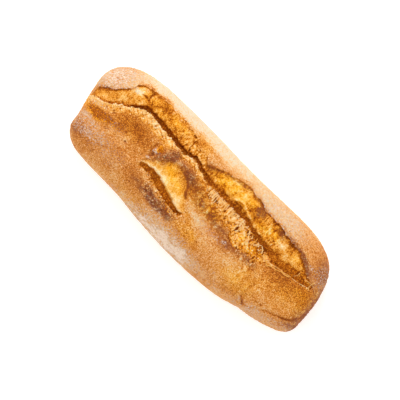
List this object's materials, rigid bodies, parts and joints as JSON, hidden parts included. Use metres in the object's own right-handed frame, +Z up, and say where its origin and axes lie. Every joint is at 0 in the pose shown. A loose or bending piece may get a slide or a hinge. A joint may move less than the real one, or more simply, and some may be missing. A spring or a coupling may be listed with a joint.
{
  "type": "ciabatta loaf",
  "caption": "Whole long flat bread loaf with a browned, floured crust torn open along the top, resting on its flat underside.",
  "frame": {"origin": "on the table, under the middle of the loaf", "axes": "+X along the loaf to its square end, +Y across it to the side that the long split lies nearer to, +Z up out of the torn top"},
  "size_m": [0.284, 0.107, 0.056],
  "materials": {
    "crust": "matte, golden brown baked crust with a dusting of flour",
    "crumb": "matte, torn golden crumb",
    "flour": "matte, pale flour grains"
  },
  "bodies": {
    "root": {"loaf": "crust"}
  },
  "joints": []
}
